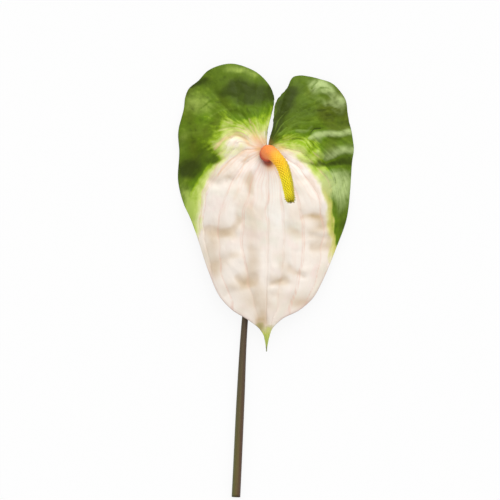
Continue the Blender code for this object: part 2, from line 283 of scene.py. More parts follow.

# Strokes over the lobes: darker ones, painted shade, and paler ones, painted sheen, in the form of
# the folds.
SHEEN_AND_SHADE_LINES = [
    # the left lobe
    (2.4, 0.5, (-20, 50.6), (-13, 50), (-7.2, 46.3)),
    (6.5, -0.6, (-18.8, 40), (-8, 37), (-1, 34)),
    (1.8, -0.4, (1, 39), (2.8, 33.5)),
    (1.8, -0.6, (-48.3, 39.7), (-40.3, 45.1)),
    (0.6, -0.4, (-42.1, 26.3), (-36.7, 29.5), (-28.7, 29.9)),
    (0.7, 0.25, (-37.6, 20.1), (-28.7, 24.6), (-20.6, 25.4)),
    # the right lobe
    (4, -1.15, (1.5, 5), (4.3, 11.5), (7.2, 20), (9.2, 27), (14.5, 35.5)),
    (0.7, -0.45, (20.7, 24), (29, 29.5)),
    (2.6, 0.7, (28.5, 38.5), (30, 42.8), (34.6, 41.8), (40.1, 36.5)),
    (1, 0.4, (34.6, 36.5), (40.1, 33)),
    (0.6, -0.8, (27, 39.2), (30.4, 43.6)),
    (0.5, -0.6, (33.5, 38.6), (38.8, 38)),
    (0.9, -0.5, (31.1, 24), (36, 24.7), (40.1, 26.7), (44, 25.4)),
    (0.7, -0.35, (37.4, 21.2), (44, 21.5)),
    (0.6, 0.3, (34.6, 18.4), (40.1, 17), (49.9, 17)),
    (1.8, 0.8, (24.9, 7.3), (30.4, 8.9), (37.4, 10.8)),
    (1.8, 0.9, (40, 10.8), (51, 11.2)),
    (0.6, -0.8, (24.2, 8), (28.3, 12.4), (32.5, 13.6)),
    (1.1, 0.5, (17.2, 11.5), (24.2, 12.4), (26.9, 13.6)),
    (0.6, -0.4, (15.1, 7.3), (21.4, 8), (26.3, 5.2), (28.3, 3.1)),
    (0.8, 0.5, (31.1, 0.3), (31.8, -3.8)),
    (2.2, 1.1, (34.6, -5.6), (40.1, -3.4), (45.7, -1.4), (53, -0.2)),
    (2.5, -0.45, (34.6, -8.6), (40.1, -7.8), (51.2, -7.2)),
    (1.6, -0.35, (33, -6.6), (32, -9.6)),
]

# Tan and peach patches of the cream, partly its own tint and partly painted shadow under its
# pillows and in its creases, and below 0, painted light that brightens it, in the form of the
# olive patches.
TAN_SHADOW_AND_LIGHT_SPOTS = [
    (-31.5, -18, 4.5, 3.5, 0.5), (-24.5, -16.5, 2.5, 1.8, 0.6), (-11.8, -21, 2.4, 6, 0.9),
    (-36, -58, 4.5, 10, 0.75), (-33, -73.5, 4, 6, 1.15), (21, -96, 6, 3, 0.8),
    (-25.5, -51.5, 7, 4, 1), (-32, -58, 4, 7, 0.35), (-18.5, -43.5, 1.8, 5, 0.6),
    (28, -42, 6, 2.4, 1.2), (33.5, -48, 3.5, 2.2, 0.6), (38.5, -55, 3, 8, 0.7),
    (-9.5, -58, 4, 22, 0.35), (-10.5, -72, 4.5, 7, 0.35), (-27, -69, 4, 3.5, 0.6),
    (28, -51, 6, 3, 0.3), (-13.5, -82.5, 6, 3, 0.9), (-14, -80, 2.5, 4.5, 0.3),
    (6.5, -80.8, 5, 2.4, 1), (9, -74, 2.5, 4, 0.6), (-5, -98, 7, 8, 0.8),
    (-4.2, -107.5, 2.6, 3.5, 2.2), (16, -51, 4, 1.8, 0.5), (19.5, -76.5, 5, 2, 0.7),
    (-21.5, -65.5, 4, 2.4, 0.8), (7.5, -90.5, 6, 2.5, 0.4), (-22, -86, 8, 4, 0.5),
    (-12, -92, 7, 6, 0.45), (-4.5, -87.5, 5, 5, 0.45), (32, -55, 8, 15, 0.4), (-16, 0.5, 6, 3, 0.6),
    (-11, 6, 4, 3, 0.5), (-13.8, -5.5, 4.5, 3, 0.5), (5, -38, 10, 26, -0.5), (1, -20, 7, 8, -0.4),
    (22, -14.5, 4.5, 3, -0.6), (15, -8.5, 4, 4, -0.5), (-8, -10.5, 3.5, 3, -0.5),
    (32.5, -44.5, 5, 2.5, 0.6),
]

# Where more green (above 0) or more cream shows than the two borders give, in the same form.
GREEN_SPOTS = [
    (33, -28, 6, 8, 0.2), (36.5, -50, 4, 12, 0.25), (24, -17, 6, 5, 0.12), (-42, -42, 3, 9, 0.25),
    (-17.5, 21.5, 4.5, 3, 0.5), (-27, 4, 8, 4, -0.4), (-12, 14, 4, 4.5, 0.25),
    (15, -1, 5, 4, -0.15), (-33, -6, 6, 2.2, 0.35), (9.5, 4.2, 6, 4, 0.6), (21.5, 0, 3, 3, -0.2),
    (29, -11.8, 5, 3, 0.42), (27.5, 0, 3, 3, 0.2), (-4.5, 25.5, 3, 3.5, 0.25),
    (-19, 5, 4.5, 3, -0.35),
]

# Amber round the seat, partly its own tint and partly painted reflection and shadow of the
# spadix; the spadix's painted shadow on it; and an olive patch by the tip, in the same form.
SPOT_FIELDS = {
    "amber_and_reflection": [
        (-5.5, -1, 3, 4.5, 0.6), (-3, 5.5, 4.5, 3, 0.5), (2.5, 4, 2.5, 2, 0.15),
        (1.8, -9.8, 4.2, 3.5, 0.75), (-9, 7.5, 3.5, 3, 0.45), (8, 0.8, 3.5, 2.5, 0.45),
    ],
    "seat_shade": [(0.2, -7.9, 3.4, 2.2, 1.3), (-3, -6.6, 2.4, 2.4, 0.35), (0.4, -10, 3, 2, 0.4)],
    "olive_side": [(-5.2, -110.8, 3.2, 3.6, 1)],
}

# Pink and tan veins that arch over the upper left of the cream, in the form of the folds.
ARCHING_VEINS = [
    (1.2, 0.75, (-4.5, 0.5), (-11.3, 3.4), (-15, 7.2), (-19.4, 10), (-24.4, 8.6), (-29.4, 5.6),
     (-33.1, 0.6)),
    (0.6, 0.4, (-11.3, 3.1), (-15.6, 10.6), (-20.6, 12.2), (-25.6, 11.9)),
    (0.9, 0.65, (-4, 0.3), (-12.5, 0), (-18.8, -3.1), (-26.9, -10), (-31.3, -15)),
    (0.6, 0.5, (-7.5, -0.6), (-12.5, -3.1), (-16.3, -10), (-19.4, -18.1)),
    (0.7, 0.5, (-12.5, 21.3), (-8.8, 15.6), (-6.9, 7.5)),
    (0.5, 0.4, (-11, 19), (-10.4, 12), (-7.5, 5.5)),
]

# The buff tint of the lime band comes in between these places, to the right and downwards.
LOWER_RIGHT_X = (10.0, 25.0)
LOWER_RIGHT_DOWN = (14.0, 34.0)

# The mesh, and the swelling between the veins. The pairs say where a thing starts and is whole: by
# reach (1 at the margin) for the veins, folds and pillows, and in millimetres for the others.
COLUMNS = 190
COLUMN_SHARES = [(0, 0), (0.12, 0.056), (0.5, 0.42), (0.8, 0.8), (1, 1)]
ROWS = 120
BULGE = 0.08
BULGE_MOST = 1.0
BULGE_FLATNESS = 0.7
PILLOWS_FROM = (0.05, 0.22)
PILLOWS_FADE = (0.75, 1.0)
PILLOWS_LOST = 0.6
FOLDS_FROM = (0.04, 0.12)
VEINS_FROM = (0.02, 0.08)
VEIN_WIDTH = 0.45
VEIN_PARTING = 0.75
PARTING_FROM = (18.0, 40.0)
CLEAR_OF_NOTCH = (0.5, 3.0)
WIDEST_PILLOW = 30.0
MIDRIB_X = -1.4
MIDRIB = [(0.25, 0.7), (-0.5, 2.4)]
MIDRIB_FROM = (6.0, 20.0)

# Each half: its side, outline, notch, droop, waves and borders, then its veins' fan, bend and ends.
LEFT = (-1, LEFT_MARGIN, LEFT_NOTCH, LEFT_DROP, LEFT_WAVES, LEFT_GREEN, LEFT_CREAM,
        LEFT_FAN, 1.25, LEFT_VEINS)
RIGHT = (1, RIGHT_MARGIN, RIGHT_NOTCH, RIGHT_DROP, RIGHT_WAVES, RIGHT_GREEN, RIGHT_CREAM,
         RIGHT_FAN, 1.2, RIGHT_VEINS)


def smooth(knots, values, places):
    """Read the smooth curve that runs through the values at the knots."""
    knots = np.asarray(knots, float)
    values = np.asarray(values, float)
    places = np.atleast_1d(np.asarray(places, float))
    slopes = np.gradient(values, knots, axis=0)
    low = np.clip(np.searchsorted(knots, places, side="right") - 1, 0, len(knots) - 2)
    span = knots[low + 1] - knots[low]
    t = (places - knots[low]) / span
    if values.ndim > 1:
        span = span[..., None]
        t = t[..., None]
    start = (2 * t**3 - 3 * t**2 + 1) * values[low] + (t**3 - 2 * t**2 + t) * span * slopes[low]
    end = (3 * t**2 - 2 * t**3) * values[low + 1] + (t**3 - t**2) * span * slopes[low + 1]
    return start + end


def smooth_pairs(pairs, places):
    """Read the smooth curve through (place, value) pairs."""
    table = np.asarray(pairs, float)
    return smooth(table[:, 0], table[:, 1], places)


def arc_of(points):
    """The length of a line of points up to each of them."""
    steps = np.linalg.norm(np.diff(np.asarray(points, float), axis=0), axis=1)
    return np.concatenate([[0.0], np.cumsum(steps)])


def along(points):
    """Each point's share of the way along a line of points."""
    arc = arc_of(points)
    return arc / arc[-1]


def polar(points, side):
    """Distance from the knot and angle from the tip's direction, opening towards the given side."""
    points = np.asarray(points, float)
    angle = np.arctan2(side * points[..., 0], -points[..., 1])
    angle = np.where(angle < -math.pi / 2, angle + 2 * math.pi, angle)
    return np.hypot(points[..., 0], points[..., 1]), angle


def step(low, high, value):
    """Rise smoothly from 0 at low to 1 at high."""
    t = np.clip((value - low) / (high - low), 0.0, 1.0)
    return t * t * (3 - 2 * t)


class Half:
    """One half of the spathe: its outline, its ribs and its veins."""

    def __init__(self, side, margin, notch, drop, waves, green, cream, fan, fan_bend, veins):
        self.side, self.margin, self.drop, self.waves = side, margin, drop, waves
        self.green_edge, self.cream_edge = green, cream
        self.fan, self.fan_bend, self.veins = fan, fan_bend, veins
        self.notch_radius, self.notch_angle = polar(notch, side)
        self.outline_radius, self.outline_angle = polar(margin[TAIL_POINTS:], side)
        self.outline_radius[0] = TAIL_START
        self.outline_angle[0] = 0.0

    def ends(self, shares):
        """Where the ribs at these shares end on the margin, in polar form."""
        return polar(smooth(along(self.margin), self.margin, shares), self.side)

    def plan(self, shares, rows):
        """The plan points of the mesh: one rib for each share, one point on it for each row."""
        end_radius, end_angle = (part[:, None] for part in self.ends(shares))
        radius = COLLAR_RADIUS + (end_radius - COLLAR_RADIUS) * rows
        fan = np.radians(smooth_pairs(RIB_FAN, shares))[:, None]
        angle = end_angle + (fan - end_angle) * (1 - rows) ** RIB_BEND
        edge_radius = COLLAR_RADIUS + (self.notch_radius[-1] - COLLAR_RADIUS) * rows
        edge_turn = math.radians(RIB_FAN[-1][1]) - self.notch_angle[-1]
        edge_angle = smooth(self.notch_radius, self.notch_angle, edge_radius)
        off_edge = edge_angle - self.notch_angle[-1] - edge_turn * (1 - rows) ** RIB_BEND
        pull = np.clip((shares - NOTCH_PULL) / (1 - NOTCH_PULL), 0.0, 1.0)[:, None] ** 2
        angle = angle + pull * off_edge
        return np.stack([self.side * radius * np.sin(angle), -radius * np.cos(angle)], axis=-1)

    def place(self, plan):
        """Radius, angle and reach (1 at the margin) of plan points."""
        radius, angle = polar(plan, self.side)
        inner = np.clip(angle, 0.0, self.outline_angle[-1])
        return radius, inner, radius / np.interp(inner, self.outline_angle, self.outline_radius)

    def off_notch(self, radius, angle):
        """Distance round from the notch's edge."""
        return radius * (np.interp(radius, self.notch_radius, self.notch_angle) - angle)

    def vein_share(self, radius, angle):
        """The share of the margin at which the vein through each plan point ends."""
        shares = np.linspace(0.0, 1.0, FAN_SAMPLES)
        end_radius, end_angle = self.ends(shares)
        end_radius[shares < TAIL_SHARE] = TAIL_START
        fan = np.radians(smooth_pairs(self.fan, shares))
        found = np.empty(radius.size)
        for i, (r, a) in enumerate(zip(radius.ravel(), angle.ravel())):
            left = np.clip(1 - r / end_radius, 0.0, 1.0) ** self.fan_bend
            angles = np.maximum.accumulate(end_angle + (fan - end_angle) * left)
            found[i] = np.interp(a, angles, shares)
        return found.reshape(radius.shape)

    def broad_height(self, plan):
        """The height over the knot of the blade's main form: funnel, dome, droop and slow waves."""
        radius, angle, reach = self.place(plan)
        inside = np.clip(reach, 0.0, 1.0)
        degrees = np.degrees(angle)
        drop = smooth_pairs(self.drop, degrees)
        wave = smooth_pairs(self.waves, degrees)
        rise = RISE * inside * (1 - inside) ** 2
        collar = COLLAR_DROP * np.exp(-(radius - COLLAR_RADIUS) / COLLAR_REACH)
        dip = NOTCH_DIP * np.exp(-((self.off_notch(radius, angle) / NOTCH_DIP_WIDTH) ** 2))
        dip = dip * np.sin(math.pi * inside)
        return rise - collar - drop * reach**DROP_POWER - dip + wave * inside**2

    def details(self, plan):
        """Fine relief in millimetres, and the fields that the material reads, at plan points."""
        radius, angle, reach = self.place(plan)
        off_notch = self.off_notch(radius, angle)
        arch = sum_of_spots(plan, VEIN_ARCHES)[..., None] * np.array([0.0, 1.0])
        settle = step(*VEIN_WANDER_FROM, radius)[..., None]
        shift = settle * VEIN_WANDER * wander(plan, VEIN_WANDER_LENGTH, VEIN_SEED)
        vein_radius, vein_angle = polar(plan + shift - arch, self.side)
        share = self.vein_share(vein_radius, np.clip(vein_angle, 0.0, None))
        vein_place = np.interp(share, self.veins, np.arange(len(self.veins)))
        across = np.linalg.norm(np.gradient(plan, axis=0), axis=-1)
        width = across / np.maximum(np.abs(np.gradient(vein_place, axis=0)), 1e-3)
        part = vein_place - np.floor(vein_place)
        to_vein = np.minimum(part, 1 - part) * np.minimum(width, WIDEST_PILLOW)
        parting = VEIN_PARTING * step(*PARTING_FROM, radius)
        vein = np.exp(-(((to_vein - parting) / VEIN_WIDTH) ** 2)) * step(*CLEAR_OF_NOTCH, off_notch)

        degrees = np.degrees(angle)
        green_radius = smooth_pairs(self.green_edge, np.maximum(degrees, self.green_edge[0][0]))
        cream_radius = smooth_pairs(self.cream_edge, np.maximum(degrees, self.cream_edge[0][0]))
        green = (radius - cream_radius) / (green_radius - cream_radius)
        green = np.where(degrees < self.cream_edge[0][0], GREEN_LOW, green)

        open_area = step(*PILLOWS_FROM, reach) * (1 - PILLOWS_LOST * step(*PILLOWS_FADE, reach))
        bulge = np.minimum(BULGE * width, BULGE_MOST)
        relief = bulge * np.sin(math.pi * part) ** BULGE_FLATNESS * open_area
        bent = plan + FOLD_WANDER * wander(plan, FOLD_WANDER_LENGTH, FOLD_SEED)
        folded = sum_of_lines(bent, FOLDS)
        relief += step(*FOLDS_FROM, reach) * folded
        lobe_crumple = crumple(plan + LOBE_CRUMPLE_OFFSET, LOBE_CRUMPLE)
        lobe_crumple *= step(*LOBE_CRUMPLE_GREEN, green)
        relief += open_area * (crumple(plan, CRUMPLE) + lobe_crumple)
        off_midrib = plan[..., 0] - MIDRIB_X
        midrib = sum(rise * np.exp(-((off_midrib / half) ** 2)) for rise, half in MIDRIB)
        relief += midrib * step(*MIDRIB_FROM, -plan[..., 1])

        green += sum_of_spots(bent, GREEN_SPOTS)
        # Painted sheen and shade of the lobes: patches, strokes, and fold crests painted paler and
        # creases darker.
        sheen_and_shade = sum_of_spots(bent, LOBE_SHEEN_AND_SHADE) + sum_of_lines(bent, SHEEN_AND_SHADE_LINES)
        right, down = plan[..., 0], -plan[..., 1]
        fields = {
            "green": np.clip(green, GREEN_LOW, GREEN_HIGH),
            "vein": vein * step(*VEINS_FROM, reach),
            "vein_place": vein_place + (0.0 if self.side < 0 else RIGHT_VEIN_PLACES),
            "reach": reach,
            "radius": radius,
            "sheen_and_shade": sheen_and_shade + FOLD_SHADING * np.clip(folded, -1.0, 1.0),
            # Painted shade in the creases.
            "crease_shade": np.clip(-folded, 0.0, 1.0),
            "tan_shadow_and_light": sum_of_spots(bent, TAN_SHADOW_AND_LIGHT_SPOTS),
            "arching": sum_of_lines(bent, ARCHING_VEINS),
            "lower_right": step(*LOWER_RIGHT_X, right) * step(*LOWER_RIGHT_DOWN, down),
            "down": down * (np.abs(right) < TIP_HALF_WIDTH),
        }
        fields |= {name: sum_of_spots(plan, spots) for name, spots in SPOT_FIELDS.items()}
        return relief, fields


def sum_of_spots(plan, spots):
    """The sum of soft round spots, each given by its centre, its half sizes and its strength."""
    total = np.zeros(plan.shape[:-1])
    for x, y, wide, tall, strength in spots:
        off_x, off_y = (plan[..., 0] - x) / wide, (plan[..., 1] - y) / tall
        total += strength * np.exp(-(off_x**2) - off_y**2)
    return total


def sum_of_lines(plan, lines):
    """The sum of soft strokes, each given by its half width, its strength and its line."""
    total = np.zeros(plan.shape[:-1])
    for half_width, strength, *line in lines:
        nearest = np.full(plan.shape[:-1], np.inf)
        for start, end in zip(np.array(line), np.array(line[1:])):
            run = end - start
            share = np.clip(((plan - start) @ run) / (run @ run), 0.0, 1.0)
            off = np.linalg.norm(plan - start - share[..., None] * run, axis=-1)
            nearest = np.minimum(nearest, off)
        total += strength * np.exp(-((nearest / half_width) ** 2))
    return total


def wander(plan, length, seed):
    """A slow irregular offset of plan points, about 1 long at most."""
    flat = plan.reshape(-1, 2) / length
    offsets = [[noise.noise(Vector((x, y, seed + more))) for more in WANDER_LAYERS]
               for x, y in flat]
    return np.array(offsets).reshape(plan.shape) * WANDER_REACH


def crumple(plan, sizes):
    """Pillows between sharp little creases, as in crushed leather, at the given sizes."""
    bent = plan + CRUMPLE_WANDER * wander(plan, CRUMPLE_WANDER_LENGTH, CRUMPLE_SEED)
    total = np.zeros(plan.shape[:-1])
    for layer, (length, rise) in enumerate(sizes):
        places = bent.reshape(-1, 2) / length
        values = [abs(noise.noise(Vector((x, y, CRUMPLE_LAYER + layer)))) for x, y in places]
        total += rise * np.array(values).reshape(total.shape)
    return total


def normals_of(grid):
    """The upward unit normals of a grid of points."""
    normals = np.cross(np.gradient(grid, axis=1), np.gradient(grid, axis=0))
    normals /= np.linalg.norm(normals, axis=2, keepdims=True)
    return normals * np.sign(normals[:, :, 2:])


def new_object(name, data):
    """A new object in the scene."""
    made = bpy.data.objects.new(name, data)
    bpy.context.collection.objects.link(made)
    return made


def mesh_object(name, points, faces, fields, material, replaces):
    """A smooth piece that rides on the flower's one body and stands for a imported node."""
    mesh = bpy.data.meshes.new(name)
    mesh.from_pydata((np.asarray(points) * MM).tolist(), [], faces)
    mesh.shade_smooth()
    for field, values in fields.items():
        layer = mesh.attributes.new(field, "FLOAT", "POINT")
        layer.data.foreach_set("value", np.ascontiguousarray(values, dtype=np.float32).ravel())
    mesh.materials.append(material)
    piece = new_object(name, mesh)
    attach(piece, "root")
    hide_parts(replaces)


def make_spathe(material):
    """The blade: two fine sheets, joined round the margin, the notch and the collar."""
    rows = np.linspace(0.0, 1.0, ROWS + 1)
    thickness = np.interp(rows, [EDGE_FROM, 1.0], [BLADE_THICKNESS, EDGE_THICKNESS])
    lowest = CLEAR_OF_FLOOR + thickness / 2 - KNOT[2]
    shares = np.clip(smooth_pairs(COLUMN_SHARES, np.linspace(0.0, 1.0, COLUMNS + 1)), 0.0, 1.0)
    grids, fields = [], []
    for tables, order in ((LEFT, slice(None, None, -1)), (RIGHT, slice(1, None))):
        half = Half(*tables)
        plan = half.plan(shares, rows)
        relief, half_fields = half.details(plan)
        height = np.maximum(half.broad_height(plan) + relief, lowest)
        grids.append(np.concatenate([plan, height[..., None]], axis=-1)[order])
        fields.append({name: values[order] for name, values in half_fields.items()})
    grid = np.concatenate(grids)
    offset = normals_of(grid) * thickness[None, :, None] / 2
    points = np.concatenate([(grid + offset).reshape(-1, 3), (grid - offset).reshape(-1, 3)]) + KNOT

    index = np.arange(len(points) // 2).reshape(grid.shape[:2])
    below = index.size
    cells = np.stack([index[:-1, :-1], index[:-1, 1:], index[1:, 1:], index[1:, :-1]], axis=-1)
    sheets = np.stack([cells, below + cells[..., [0, 3, 2, 1]]], axis=2)
    border = np.concatenate([index[0, :-1], index[:-1, -1], index[-1, :0:-1], index[:0:-1, 0]])
    onward = np.roll(border, -1)
    rim = np.stack([onward, border, below + border, below + onward], axis=-1)
    faces = np.concatenate([sheets.reshape(-1, 4), rim]).tolist()

    merged = {name: np.concatenate([half_fields[name] for half_fields in fields] * 2).ravel()
              for name in fields[0]}
    merged["under"] = np.repeat([0.0, 1.0], below)
    mesh_object("spathe_blade", points, faces, merged, material, "spathe")


# ---- the spadix and the stem

SEAT_HEIGHT = 0.8
SPADIX_LINE = [
    (-0.5, -3, 0), (-0.5, -3, 2), (-0.1, -2, 5.5), (1.1, -2, 9), (4.4, -4.8, 14),
    (8.6, -10.8, 19.5), (11.4, -20, 23.4), (13.2, -30, 24.4),
]
SPADIX_RADII = [(0, 4.7), (0.06, 4.9), (0.2, 4.35), (0.45, 3.65), (0.7, 3.3), (0.9, 3.05), (1, 2.8)]
SPADIX_RINGS = 340
DOME_RINGS = 24
SPADIX_SIDES = 144
FLORETS_AROUND = 12
FLORET_ROWS_PER_MM = 0.9
FLORET_TWIST = 0.03
FLORET_HEIGHT = 0.65
FLORET_ROUNDNESS = 0.6
FLORET_SINK = 0.45
# Florets grow in two steps: how much each adds, and the shares of the line that it takes.
FLORET_GROWTH = [(0.24, 0.02, 0.12), (0.76, 0.36, 0.52)]
UNEVEN_LENGTH = 2.2
UNEVEN_PHASE = 0.7
UNEVEN_HEIGHT = 0.5
STIGMA_HEIGHT = 0.32
STIGMA_FROM = (0.6, 0.95)
STIGMA_TINT_FROM = (0.8, 0.97)
END_SPIKES = 1.5
END_SPIKES_FROM = (-1.0, 3.0)
DOME_LEAN = 84.0

STEM_LINE = [
    (-20.1, -217.8, 2.8), (-17.2, -156.3, 3), (-14.4, -105.6, 2.9), (-9.2, -58, 2.9),
    (-4.6, -27, 3.5), (-2.2, -13, 5), (-0.8, -5, 8.6), (-0.1, -0.9, 13.6), (0, 0, 17.6),
    (0, 0, 20.5),
]
STEM_RADII = [(0, 2.8), (0.28, 2.6), (0.48, 2.05), (0.75, 2.1), (0.92, 2.5), (1, 3)]
STEM_RINGS = 260
STEM_SIDES = 56
STEM_CROWDING = 0.85
STEM_RIDGES = 14
STEM_BROAD_RIDGES = 5
STEM_BROAD_SHARE = 0.6
STEM_RIDGE_HEIGHT = 0.04
STEM_SWELL = 0.05
STEM_SWELL_LENGTH = 17.0
# The cut face from its rim inwards: share of the radius and depth. OFF_CUT marks the stalk's skin.
OFF_CUT = 2.0
CUT_RINGS = [(0.97, 0.1), (0.9, 0.14), (0.7, 0.1), (0.4, 0.05), (0.1, 0.12)]


def round_line(line, corners):
    """The corners' turns round a centre line, the directions out to them, and its tangents.

    The directions turn with the line and never about it.
    """
    tangents = np.gradient(line, axis=0)
    tangents /= np.linalg.norm(tangents, axis=1, keepdims=True)
    side = np.array([1.0, 0.0, 0.0])
    sides = []
    for tangent in tangents:
        side = side - tangent * np.dot(side, tangent)
        side = side / np.linalg.norm(side)
        sides.append(side)
    sides = np.array(sides)
    others = np.cross(tangents, sides)
    turn = 2 * math.pi * np.arange(corners) / corners
    outward = np.cos(turn)[:, None] * sides[:, None, :] + np.sin(turn)[:, None] * others[:, None, :]
    return turn, outward, tangents


def tube_faces(rings, corners):
    """The faces of a tube with flat ends."""
    index = np.arange(rings * corners).reshape(rings, corners)
    ahead = np.roll(index, -1, axis=1)
    sides = np.stack([index[:-1], ahead[:-1], ahead[1:], index[1:]], axis=-1).reshape(-1, 4)
    return [*sides.tolist(), index[0, ::-1].tolist(), index[-1].tolist()]


def make_spadix(material):
    """The finger: smooth near its seat, then set all over with small close florets."""
    shares = np.linspace(0.0, 1.0, SPADIX_RINGS + 1)
    body = smooth(along(SPADIX_LINE), SPADIX_LINE, shares)
    radii = smooth_pairs(SPADIX_RADII, shares)
    length = arc_of(body)[-1]
    onward = body[-1] - body[-2]
    onward /= np.linalg.norm(onward)
    lean = np.radians(np.linspace(0.0, DOME_LEAN, DOME_RINGS + 1))[1:]
    line = np.concatenate([body, body[-1] + onward * (radii[-1] * np.sin(lean))[:, None]])
    ring_radii = np.concatenate([radii, radii[-1] * np.cos(lean)])
    arc = np.concatenate([shares * length, length + radii[-1] * lean])
    rise = np.concatenate([np.zeros(len(body)), np.sin(lean)])

    turn, outward, tangents = round_line(line, SPADIX_SIDES)
    phase = FLORETS_AROUND * (turn[None, :] + FLORET_TWIST * arc[:, None])
    climb = math.pi * FLORET_ROWS_PER_MM * arc[:, None]
    places = line[:, None, :] + outward * ring_radii[:, None, None]
    uneven = [noise.noise(Vector(point)) for point in (places / UNEVEN_LENGTH).reshape(-1, 3)]
    uneven = np.array(uneven).reshape(phase.shape)
    phase = phase + UNEVEN_PHASE * uneven
    floret = (1 + np.cos(phase + climb)) * (1 + np.cos(phase - climb)) / 4
    grown = sum(share * step(low, high, shares) for share, low, high in FLORET_GROWTH)
    grown = np.concatenate([grown, np.ones(DOME_RINGS)])[:, None]
    near_end = step(*(length + np.array(END_SPIKES_FROM)), arc)[:, None]
    stigma = STIGMA_HEIGHT + END_SPIKES * near_end * (0.5 + uneven)
    swell = floret**FLORET_ROUNDNESS - FLORET_SINK
    relief = FLORET_HEIGHT * (1 + UNEVEN_HEIGHT * uneven) * swell
    relief += stigma * step(*STIGMA_FROM, floret)
    normal = outward * np.sqrt(1 - rise**2)[:, None, None]
    normal += tangents[:, None, :] * rise[:, None, None]
    points = places + normal * (grown * relief)[..., None]
    fields = {
        "along": np.repeat(arc / arc[-1], SPADIX_SIDES),
        "floret": 1 - grown * (1 - floret**FLORET_ROUNDNESS),
        "side": outward[..., 0],
        "stigma": grown * step(*STIGMA_TINT_FROM, floret),
    }
    points = points.reshape(-1, 3) + KNOT + np.array([0.0, 0.0, SEAT_HEIGHT])
    faces = tube_faces(len(line), SPADIX_SIDES)
    mesh_object("spadix_florets", points, faces, fields, material, "spadix")


def make_stem(material):
    """The stalk: faint ridges along it, a square cut end, and the bend up to the knot."""
    shares = np.linspace(0.0, 1.0, STEM_RINGS + 1) ** STEM_CROWDING
    line = smooth(along(STEM_LINE), STEM_LINE, shares)
    radii = smooth_pairs(STEM_RADII, shares)
    arc = arc_of(line)
    turn, outward, tangents = round_line(line, STEM_SIDES)
    broad = STEM_BROAD_SHARE * np.sin(STEM_BROAD_RIDGES * turn + 1.0)
    ridge = STEM_RIDGE_HEIGHT * (np.cos(STEM_RIDGES * turn) + broad - 1.0)
    swell = np.sin(arc / STEM_SWELL_LENGTH)[:, None] * np.cos(turn + 0.7)[None, :] - 1.0
    round_radii = radii[:, None] + ridge[None, :] + STEM_SWELL * swell
    rings = line[:, None, :] + outward * round_radii[..., None]

    cut_shares, depths = np.array(CUT_RINGS[::-1]).T
    cut = [line[0] + tangents[0] * depth + (rings[0] - line[0]) * share
           for share, depth in zip(cut_shares, depths)]
    points = np.concatenate([np.array(cut), rings])
    bare = np.zeros(len(cut))
    by_ring = {"arc": (bare, arc), "top": (bare, shares),
               "cut": (cut_shares, np.full(len(line), OFF_CUT))}
    fields = {name: np.concatenate(parts).repeat(STEM_SIDES) for name, parts in by_ring.items()}
    fields["around"] = np.concatenate([np.zeros((len(cut), STEM_SIDES)), outward[..., 0]])
    fields["turn"] = np.tile(turn, len(points))
    faces = tube_faces(len(points), STEM_SIDES)
    points = points.reshape(-1, 3) + KNOT * np.array([1.0, 1.0, 0.0])
    mesh_object("stem_stalk", points, faces, fields, material, "stem")


# ---- materials

def colour(red, green, blue):
    """A screen colour, 0 to 255, as the linear colour that a shader takes."""
    screen = (red / 255, green / 255, blue / 255)
    linear = [c / 12.92 if c <= 0.04045 else ((c + 0.055) / 1.055) ** 2.4 for c in screen]
    return (*linear, 1.0)


